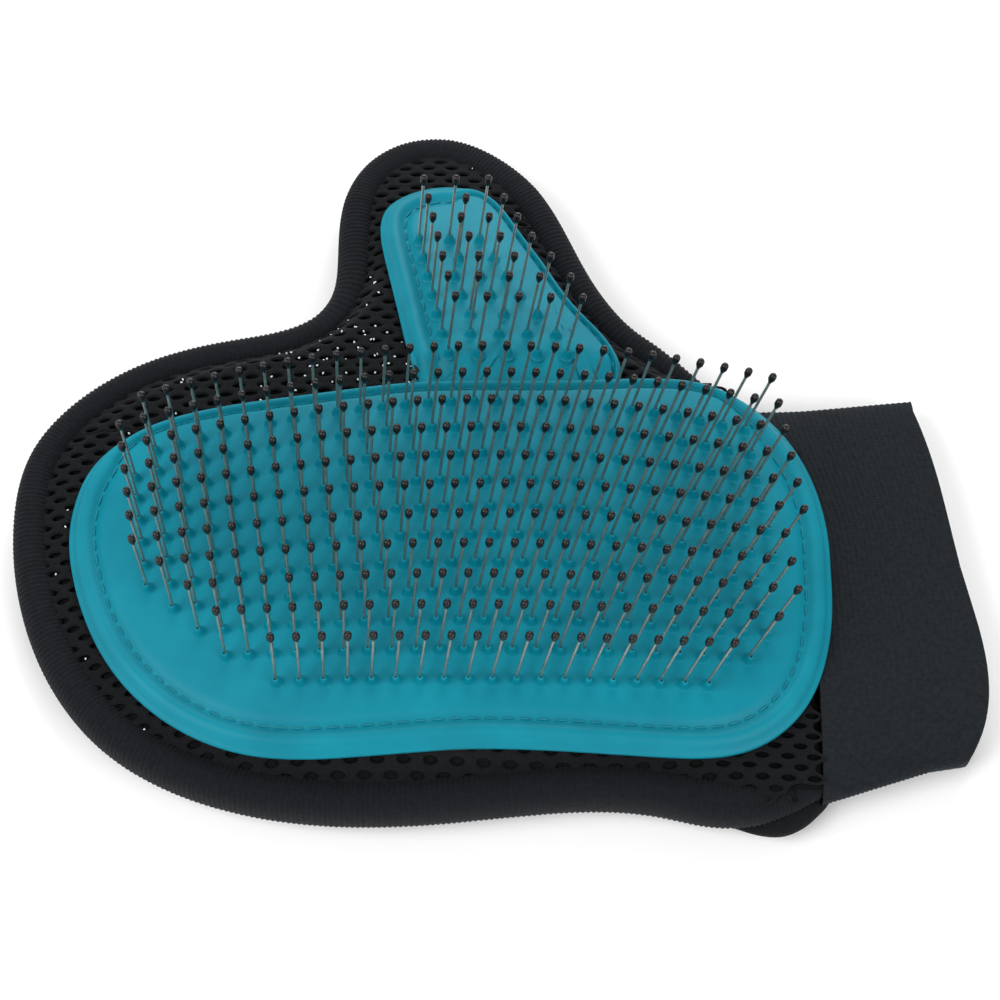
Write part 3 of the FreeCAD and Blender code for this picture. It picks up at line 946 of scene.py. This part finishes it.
# %% Webbing folded in two
CUFF_RIB = 1.55 * MM
cuff_low, cuff_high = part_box("cuff_outer")
cuff_middle = ((cuff_low[0] + cuff_high[0]) / 2, (cuff_low[1] + cuff_high[1]) / 2)
cuff_fan = edge_points(["cuff_outer"], cuff_middle)
mouth = np.array([p for p in cuff_fan if p[0] > cuff_middle[0] + 8 * MM])
mouth = mouth[np.argsort(mouth[:, 1])]
seam_low = cuff_fan[cuff_fan[:, 0] < cuff_low[0] + 1 * MM][:, 1].min()
TOP_SEAM = 12.5 * MM
TOP_MOUTH = cuff_high[1]
TOP_START, LOW_START = wrist_x - 10 * MM, wrist_x
MOUTH_DRAW = 2.0 * MM
MOUTH_HEIGHT = 13.6 * MM
CUFF_FLOOR = 0.5 * MM
CUFF_POINTS = 96
CORD_RELIEF = 0.11 * MM


def cuff_ring(share, shrink):
    """One loop round the cuff, at this share of the way from its seam to its mouth."""
    low_y = seam_low + (mouth[0][1] + 0.8 * MM - seam_low) * share
    high_y = TOP_SEAM + (TOP_MOUTH - TOP_SEAM) * share
    settled = float(smooth_step(share / 0.45))
    ring = []
    for step in range(CUFF_POINTS):
        turn = 2 * math.pi * step / CUFF_POINTS
        c, d = math.cos(turn), math.sin(turn)
        breadth = (high_y - low_y) / 2 - shrink
        level = (low_y + high_y) / 2 + breadth * math.copysign(abs(c) ** 0.55, c)
        start = LOW_START + (TOP_START - LOW_START) * float(smooth_step((level + 30 * MM) / (45 * MM)))
        end = float(np.interp(level, mouth[:, 1], mouth[:, 0])) - MOUTH_DRAW - shrink * 0.3
        x = start + (end - start) * share
        # Under the pad the band's start lies low; at the heel it laps over the mesh.
        lap = 2.2 * MM * float(smooth_step((-52 * MM - level) / (12 * MM)))
        ceiling = float(dome(x, level, -4.6 * MM) + lap) * (1 - settled) + MOUTH_HEIGHT * settled
        half = (ceiling - CUFF_FLOOR) / 2 - shrink
        up = (ceiling + CUFF_FLOOR) / 2 + half * math.copysign(abs(d) ** 0.8, d)
        ring.append(Vector((x, level, up)))
    return ring


def webbing_cuff():
    bm = bmesh.new()
    ribs = round((cuff_high[0] - wrist_x) / CUFF_RIB)
    outside = [(i / (4 * ribs), CORD_RELIEF * (1 - math.cos(math.pi * i / 2)))
               for i in range(4 * ribs + 1)]
    fold = [(1.004, 0.35 * MM), (1.008, 0.9 * MM), (1.004, 1.6 * MM)]
    inside = [(1 - i / 12, 2.1 * MM) for i in range(13)]
    rings_piece(bm, [cuff_ring(share, shrink) for share, shrink in outside + fold + inside])
    piece = finish_piece("webbing_cuff", bm, "cuff_elastic", body="cuff")
    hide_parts("cuff_outer", "cuff_inner")
    return piece


webbing_cuff()

# %% [markdown]
# ## Stage, light and camera
# A pale floor and three soft lights: a key light from the fingers' side, a fill from the heel and
# one behind. The camera looks down at the palm from the heel's side.

# %% Stage
def stage_floor():
    bm = bmesh.new()
    bmesh.ops.create_grid(bm, x_segments=1, y_segments=1, size=3.0)
    mesh = bpy.data.meshes.new("floor")
    bm.to_mesh(mesh)
    bm.free()
    floor = bpy.data.objects.new("floor", mesh)
    scene.collection.objects.link(floor)
    material, _, _ = new_material("pale_floor", "#fbfbfb", 0.9)
    mesh.materials.append(material)
    floor.location.z = -0.1 * MM


def area_light(name, place, target, size, watts):
    light = bpy.data.lights.new(name, "AREA")
    light.size = size
    light.energy = watts
    lamp = bpy.data.objects.new(name, light)
    lamp.location = place
    lamp.rotation_euler = (Vector(target) - Vector(place)).to_track_quat("-Z", "Y").to_euler()
    scene.collection.objects.link(lamp)


stage_floor()
area_light("key", (-0.75, -0.35, 0.85), (0, 0, 0), 0.8, 10)
area_light("fill", (0.75, -0.75, 0.7), (0, 0, 0), 0.9, 9)
area_light("back", (0.1, 1.05, 0.7), (0, 0, 0), 0.9, 11)
world = bpy.data.worlds.new("studio")
world.use_nodes = True
world.node_tree.nodes["Background"].inputs["Color"].default_value = linear("#ffffff")
world.node_tree.nodes["Background"].inputs["Strength"].default_value = 0.35
scene.world = world
scene.view_settings.view_transform = "Standard"

# %% Camera
TILT = math.radians(27)
AWAY = 0.5457
LENS = 80.0
aim = Vector((2.3 * MM, -13.6 * MM, 12 * MM))
camera = bpy.data.objects.new("camera", bpy.data.cameras.new("camera"))
camera.data.lens = LENS
camera.data.sensor_width = 36
camera.location = aim + Vector((0, -math.sin(TILT), math.cos(TILT))) * AWAY
camera.rotation_euler = (TILT, 0, 0)
scene.collection.objects.link(camera)
scene.camera = camera
